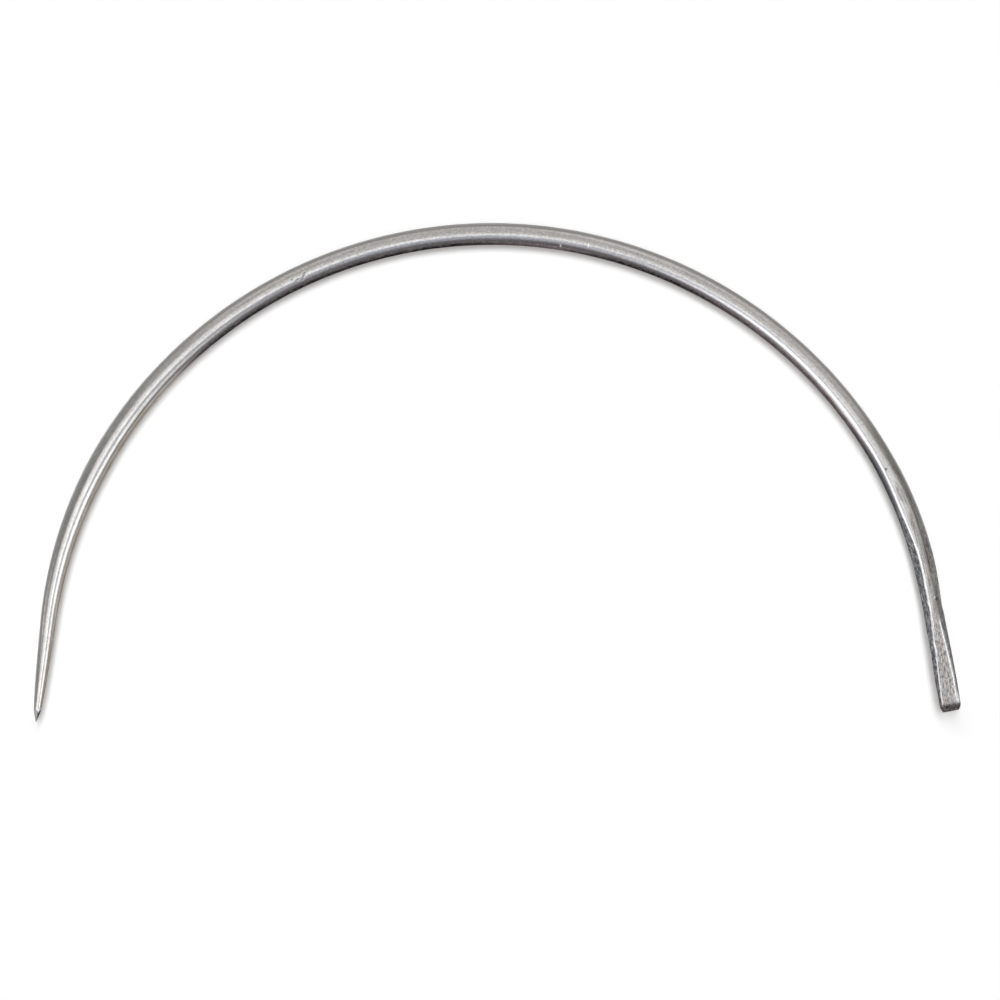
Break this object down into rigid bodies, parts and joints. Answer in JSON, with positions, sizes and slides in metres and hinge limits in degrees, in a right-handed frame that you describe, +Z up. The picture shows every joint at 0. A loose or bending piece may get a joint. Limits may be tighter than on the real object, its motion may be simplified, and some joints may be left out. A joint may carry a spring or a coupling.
{
  "type": "curved needle",
  "caption": "Half-round steel needle with a long ground point and a filed, waisted head whose slotted eye opens inwards and outwards, for sewing where only one side can be reached.",
  "frame": {"origin": "middle of the needle's box, at the level of the surface that it lies on", "axes": "+X from the point's side to the head's side, +Y towards the crown of the arch, +Z up from the surface"},
  "size_m": [0.0956, 0.0514, 0.0022],
  "materials": {
    "steel": "bright drawn wire, ground at the point and forged and filed at the head"
  },
  "bodies": {
    "root": {"needle": "steel"}
  },
  "joints": []
}
